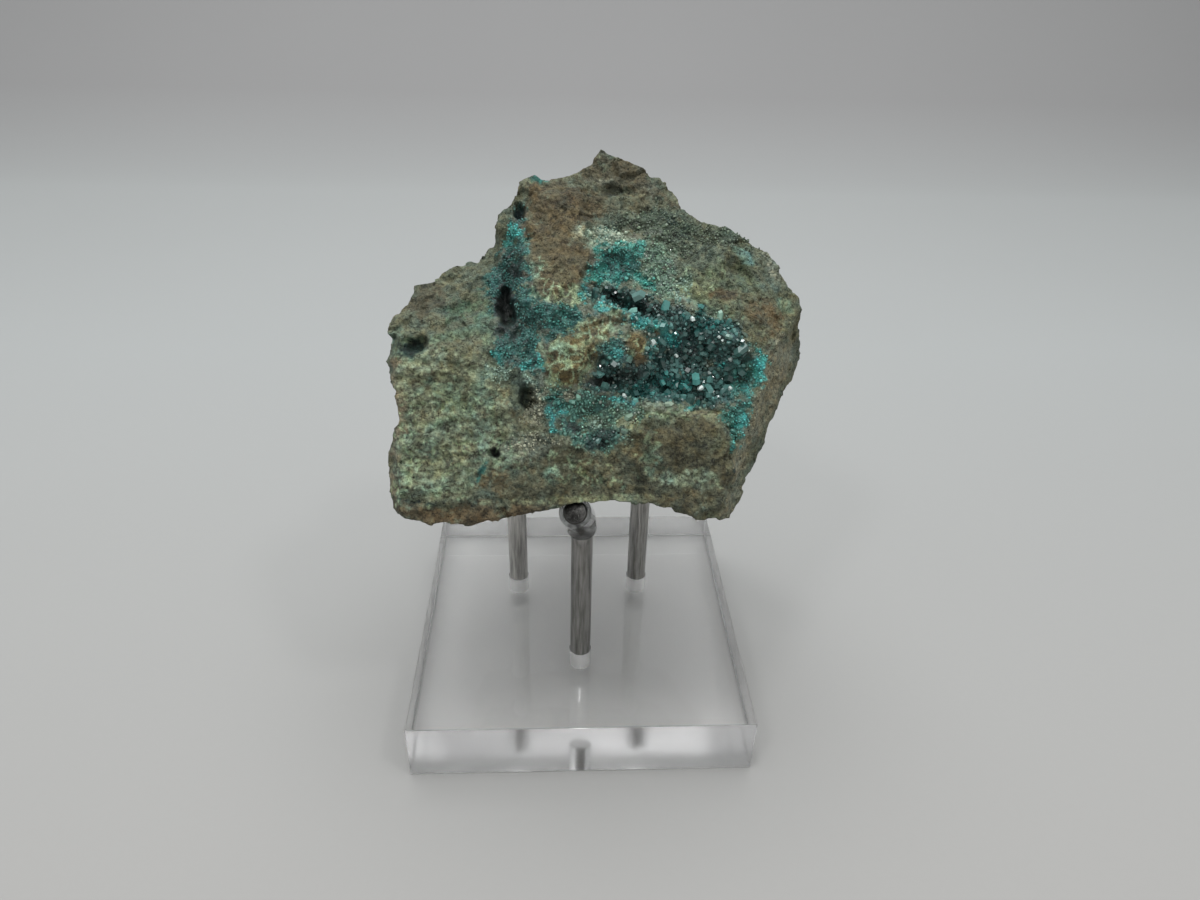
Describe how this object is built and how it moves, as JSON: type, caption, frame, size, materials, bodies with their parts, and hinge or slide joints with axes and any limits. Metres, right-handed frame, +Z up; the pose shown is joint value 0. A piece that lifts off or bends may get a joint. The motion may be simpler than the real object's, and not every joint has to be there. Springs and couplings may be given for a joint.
{
  "type": "mineral specimen on a stand",
  "caption": "Rough dioptase specimen: brown rock with a hollow lined by a crust of dark green crystals, resting on bent rods that stand in a clear square block",
  "frame": {"origin": "centre of the clear block's underside, on the table", "axes": "+Z up, the rock's open face looks towards -Y and up, +X to the right as seen from the front"},
  "size_m": [0.0568, 0.0508, 0.0814],
  "materials": {
    "acrylic": "gloss",
    "aluminium": "satin",
    "vinyl": "satin",
    "rock": "matte",
    "dioptase": "gloss"
  },
  "bodies": {
    "root": {"acrylic_base": "acrylic", "peg_front": "aluminium", "peg_rear_left": "aluminium", "peg_rear_right": "aluminium", "sleeve_front": "vinyl", "sleeve_rear_left": "vinyl", "sleeve_rear_right": "vinyl", "matrix": "rock", "dioptase_crust": "dioptase"}
  },
  "joints": []
}
